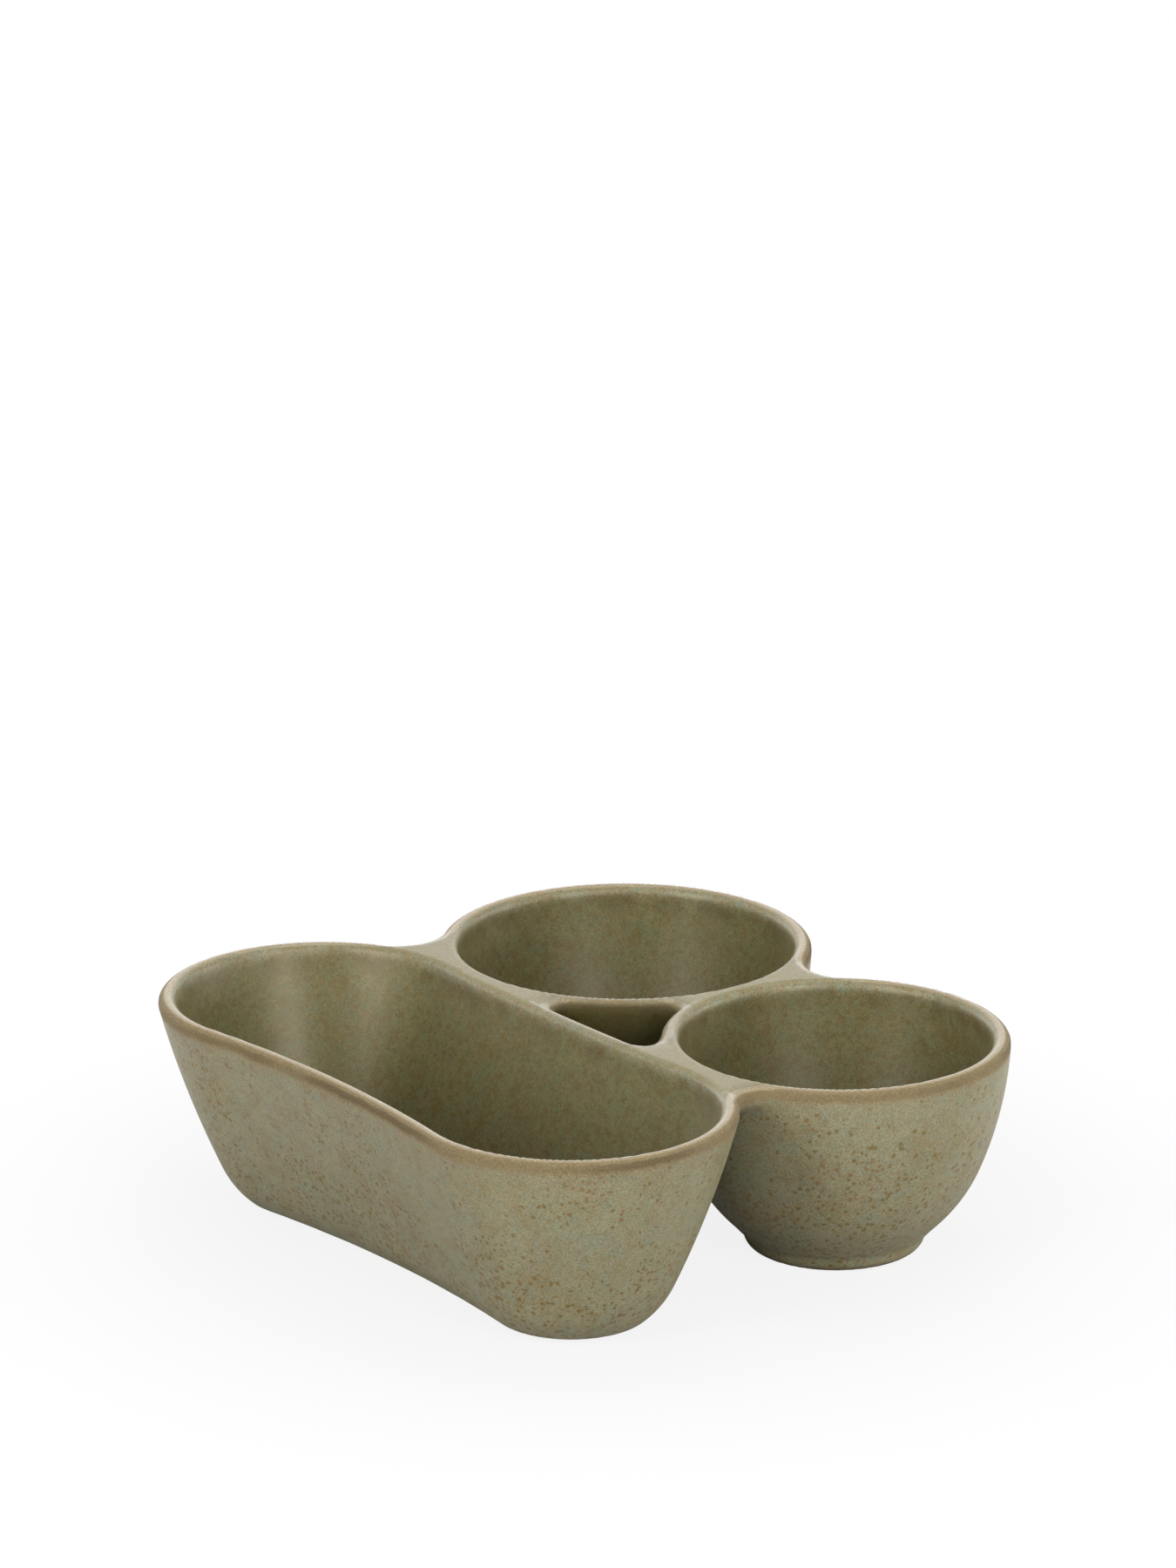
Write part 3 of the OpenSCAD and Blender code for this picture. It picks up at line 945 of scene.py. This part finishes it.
# The surface of a piece: its normals come from the formula, and the glaze reads where a point is on the lips
# from what is stored here. Within is 1 on the inside of a vessel, whose face looks up or away from its lip.
looking_up_share = 0.5
within_limits = (-0.2, 0.3)
tree, given, close = new_tree(
    "Glazed surface", {"Geometry": "Geometry", "Glaze": "Material", "Probe": "Float"},
    {"Geometry": "Geometry"})
position = place(tree, "GeometryNodeInputPosition", {})
surface = place(tree, "GeometryNodeSetShadeSmooth", {"Geometry": given["Geometry"]})
rim, lip, lip_way = call(tree, rim_distance, {"Position": position, "Probe": given["Probe"]})
distance, outward = call(tree, way_out, {"Position": position, "Probe": given["Probe"]})
facing_in = split(outward)[2] * looking_up_share - outward.vector("DOT_PRODUCT", lip_way)
within = rise(facing_in, *within_limits)
for label, value in (("rim", rim), ("lip", lip), ("within", within)):
    surface = place(tree, "GeometryNodeStoreNamedAttribute", {
        "Geometry": surface, "Name": label, "Value": value}, data_type="FLOAT", domain="POINT")
surface = place(tree, "GeometryNodeSetMeshNormal", {"Mesh": surface, "Custom Normal": outward},
                mode="FREE", domain="POINT")
surface = place(tree, "GeometryNodeRealizeInstances", {"Geometry": surface})
glazed_surface = close({"Geometry": place(
    tree, "GeometryNodeSetMaterial", {"Geometry": surface, "Material": given["Glaze"]})})

for name, mesh in clay.items():
    finish = foot_glaze if name.endswith("_foot") else green_glaze
    piece = linked(name + "_fired", grown(glazed_surface, {"Glaze": finish, "Probe": probe}, mesh))
    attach(piece, "root")
    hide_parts(name)


# Floor, light and camera: a wide white floor, two tall soft lights beside the camera, a broad one overhead,
# white cards behind and on both sides, and a long lens looking down at the photographed angle.
floor_r = 6
floor_grey = (0.52, 0.52, 0.52, 1)
floor_near = 0.07
floor_far = 0.18
floor_lift = 0.86
room_light = 0.08


def in_view(tree):
    """1 for what the camera sees straight on, and 1 for that and what it sees in a reflection or glass"""
    path = tree.nodes.new("ShaderNodeLightPath")
    kinds = ("Is Camera Ray", "Is Glossy Ray", "Is Transmission Ray")
    straight, *others = (Field(tree, path.outputs[kind]) for kind in kinds)
    return straight, largest(straight, *others)


floor_mesh = bpy.data.meshes.new("floor")
floor_corners = ((-1, -1), (1, -1), (1, 1), (-1, 1))
floor_mesh.from_pydata([(x * floor_r, y * floor_r, 0) for x, y in floor_corners], [], [(0, 1, 2, 3)])
floor = linked("floor", floor_mesh)
floor_white = bpy.data.materials.new("floor_white")
floor_white.use_nodes = True
tree = floor_white.node_tree
floor_shader = tree.nodes["Principled BSDF"]
floor_shader.inputs["Base Color"].default_value = floor_grey
floor_shader.inputs["Roughness"].default_value = 1
floor_shader.inputs["Specular IOR Level"].default_value = 0
away = place(tree, "ShaderNodeTexCoord", {}, "Object").vector("LENGTH")
straight, seen = in_view(tree)
lift = straight * floor_lift
whiteness = seen * (rise(away, floor_near, floor_far) * (1 - lift) + lift)
glow = place(tree, "ShaderNodeEmission", {"Color": white, "Strength": 1})
blend = tree.nodes.new("ShaderNodeMixShader")
for socket, value in zip(blend.inputs, (whiteness, Field(tree, floor_shader.outputs["BSDF"]), glow)):
    feed(socket, value)
feed(tree.nodes["Material Output"].inputs["Surface"], Field(tree, blend.outputs["Shader"]))
floor_mesh.materials.append(floor_white)

world = bpy.data.worlds.new("studio")
bpy.context.scene.world = world
world.use_nodes = True
tree = world.node_tree
seen = in_view(tree)[1]
feed(tree.nodes["Background"].inputs["Color"], white)
feed(tree.nodes["Background"].inputs["Strength"], seen * (1 - room_light) + room_light)

yaw = -0.91646
pitch = 0.31404
camera_at = (1.56233, -1.19999, 0.74990)
looking = Vector((math.sin(yaw) * math.cos(pitch), math.cos(yaw) * math.cos(pitch), -math.sin(pitch)))


def soft_light(name, turn, height, away, size, power):
    """An area light turned this far to the right of the camera, aimed at the dish"""
    lamp = bpy.data.lights.new(name, "AREA")
    lamp.shape = "RECTANGLE"
    lamp.size, lamp.size_y = size
    lamp.energy = power
    way = math.atan2(-looking.y, -looking.x) + math.radians(turn)
    light = linked(name, lamp)
    light.location = Vector((away * math.cos(way), away * math.sin(way), height))
    light.rotation_euler = (Vector((0, 0, dish_h / 2)) - light.location).to_track_quat("-Z", "Y").to_euler()


soft_light("right_soft_light", turn=30, height=0.65, away=1.6, size=(0.4, 1.1), power=20)
soft_light("left_soft_light", turn=-46, height=0.7, away=1.6, size=(0.6, 1.1), power=22.5)
soft_light("overhead_soft_light", turn=160, height=1.8, away=0.5, size=(0.9, 0.9), power=9.3)
soft_light("rear_white_card", turn=178, height=0.5, away=1.6, size=(2.4, 0.9), power=9)
soft_light("right_white_card", turn=96, height=0.22, away=1.6, size=(1.2, 0.35), power=11.5)
soft_light("left_white_card", turn=-130, height=0.35, away=1.6, size=(1, 0.5), power=5)

camera_data = bpy.data.cameras.new("camera")
camera = linked("camera", camera_data)
right = Vector((math.cos(yaw), -math.sin(yaw), 0))
up = right.cross(looking)
turned = Matrix((right, up, -looking)).transposed().to_4x4()
camera.matrix_world = Matrix.Translation(camera_at) @ turned
camera_data.sensor_fit = "VERTICAL"
camera_data.sensor_height = 36
camera_data.lens = 200
bpy.context.scene.camera = camera
bpy.context.scene.view_settings.view_transform = "Standard"
